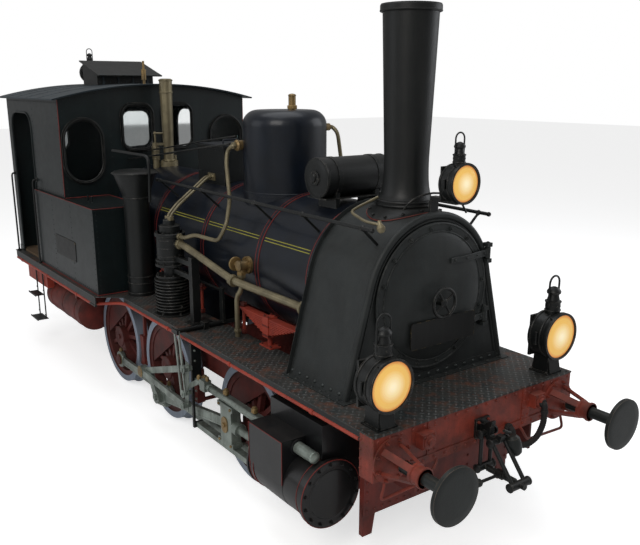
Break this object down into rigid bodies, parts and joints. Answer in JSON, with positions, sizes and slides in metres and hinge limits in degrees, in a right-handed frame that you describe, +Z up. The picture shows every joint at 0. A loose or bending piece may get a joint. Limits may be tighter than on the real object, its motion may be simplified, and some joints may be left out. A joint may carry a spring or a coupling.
{
  "type": "steam tank locomotive",
  "caption": "Small steam tank locomotive with side bunkers, open-sided cab, tapered chimney, outside cylinders, turning wheels and rods, and a hinged smokebox door.",
  "frame": {"origin": "floor level under the wheel flanges, midway between the buffer faces and between the rails", "axes": "+X forward towards the chimney, +Y to the engine's left, +Z up"},
  "size_m": [8.591, 2.58, 4.048],
  "materials": {
    "frame_red": "dull dark red oil paint with soot and rust",
    "beam_red": "oxide red oil paint, chipped at rivets and edges",
    "wheel_red": "dark red oil paint, oily and dusty",
    "board_black": "worn black paint with rust speckle",
    "cylinder_black": "satin black paint with red lining",
    "motion_steel": "oiled bright steel",
    "black_iron": "black painted iron, satin",
    "boiler_black": "glossy blue-black paint with red bands and yellow lining",
    "smokebox_black": "heatproof dark grey, matt",
    "chimney_black": "heatproof black, matt, sooty",
    "cab_green_black": "very dark green paint with red lining",
    "roof_grey": "grey-black roof paint",
    "brass": "dull hand-polished brass",
    "hose_black": "ribbed black rubber",
    "pane": "flat window glass",
    "lens": "warm lit lens",
    "floor_wood": "oiled planks"
  },
  "bodies": {
    "engine": {"frame_plates": "frame_red", "front_buffer_beam": "beam_red", "rear_buffer_beam": "beam_red", "running_board": "board_black", "air_tanks": "frame_red", "cylinder_right": "cylinder_black", "cylinder_left": "cylinder_black", "slide_bars_right": "motion_steel", "slide_bars_left": "motion_steel", "valve_gear_right": "motion_steel", "valve_gear_left": "motion_steel", "reversing_shaft": "black_iron", "leaf_springs": "beam_red", "brake_gear": "frame_red", "buffer_housings": "beam_red", "buffer_heads": "black_iron", "screw_couplings": "black_iron", "brake_hoses": "hose_black", "cab_steps": "black_iron", "boiler": "boiler_black", "firebox": "boiler_black", "smokebox": "smokebox_black", "chimney": "chimney_black", "dome": "boiler_black", "sandbox": "cab_green_black", "safety_valve": "brass", "air_reservoir": "black_iron", "air_pump": "black_iron", "boiler_valves": "brass", "steam_pipes": "brass", "water_fillers": "cylinder_black", "handrails": "motion_steel", "bunker_right": "cab_green_black", "bunker_left": "cab_green_black", "cab_front": "cab_green_black", "cab_side_right": "cab_green_black", "cab_side_left": "cab_green_black", "cab_rear": "cab_green_black", "cab_floor": "floor_wood", "cab_roof": "roof_grey", "cab_windows": "pane", "roof_ventilator": "roof_grey", "whistle": "brass", "cab_controls": "brass", "platform_lamps": "black_iron", "smokebox_lamp": "black_iron", "rear_lamp": "black_iron", "lamp_glasses": "lens"},
    "smokebox_door": {"smokebox_door": "smokebox_black"},
    "wheelset_front": {"wheelset_front": "wheel_red"},
    "wheelset_driving": {"wheelset_driving": "wheel_red"},
    "wheelset_rear": {"wheelset_rear": "wheel_red"},
    "coupling_rod_right": {"coupling_rod_right": "motion_steel"},
    "coupling_rod_left": {"coupling_rod_left": "motion_steel"},
    "connecting_rod_right": {"connecting_rod_right": "motion_steel"},
    "connecting_rod_left": {"connecting_rod_left": "motion_steel"},
    "crosshead_right": {"crosshead_right": "motion_steel"},
    "crosshead_left": {"crosshead_left": "motion_steel"}
  },
  "joints": [
    {"name": "wheelset_driving_turn", "type": "hinge", "parent": "engine", "child": "wheelset_driving", "pos_m": [0.084, 0, 0.578], "axis": [0, 1, 0], "continuous": true},
    {"name": "wheelset_front_turn", "type": "hinge", "parent": "engine", "child": "wheelset_front", "pos_m": [1.784, 0, 0.578], "axis": [0, 1, 0], "continuous": true},
    {"name": "wheelset_rear_turn", "type": "hinge", "parent": "engine", "child": "wheelset_rear", "pos_m": [-1.216, 0, 0.578], "axis": [0, 1, 0], "continuous": true},
    {"name": "coupling_rod_right_turn", "type": "hinge", "parent": "wheelset_driving", "child": "coupling_rod_right", "pos_m": [0.23778, -0.882, 0.35002], "axis": [0, 1, 0], "continuous": true},
    {"name": "crosshead_right_slide", "type": "slide", "parent": "engine", "child": "crosshead_right", "axis": [1, 0, 0], "range_m": [-0.4107, 0.1393]},
    {"name": "connecting_rod_right_swing", "type": "hinge", "parent": "crosshead_right", "child": "connecting_rod_right", "pos_m": [1.66974, -0.97, 0.578], "axis": [0, 1, 0], "range_deg": [-1.89, 19.98]},
    {"name": "coupling_rod_left_turn", "type": "hinge", "parent": "wheelset_driving", "child": "coupling_rod_left", "pos_m": [0.31199, 0.882, 0.73178], "axis": [0, 1, 0], "continuous": true},
    {"name": "crosshead_left_slide", "type": "slide", "parent": "engine", "child": "crosshead_left", "axis": [1, 0, 0], "range_m": [-0.4948, 0.0552]},
    {"name": "connecting_rod_left_swing", "type": "hinge", "parent": "crosshead_left", "child": "connecting_rod_left", "pos_m": [1.75381, 0.97, 0.578], "axis": [0, 1, 0], "range_deg": [-17.02, 4.84]},
    {"name": "smokebox_door_swing", "type": "hinge", "parent": "engine", "child": "smokebox_door", "pos_m": [3.162, 0.572, 1.928], "axis": [0, 0, 1], "range_deg": [0, 90]}
  ],
  "couplings": [
    {"joint": "wheelset_front_turn", "follows": "wheelset_driving_turn", "ratio": 1},
    {"joint": "wheelset_rear_turn", "follows": "wheelset_driving_turn", "ratio": 1},
    {"joint": "coupling_rod_right_turn", "follows": "wheelset_driving_turn", "ratio": -1},
    {"joint": "coupling_rod_left_turn", "follows": "wheelset_driving_turn", "ratio": -1}
  ]
}
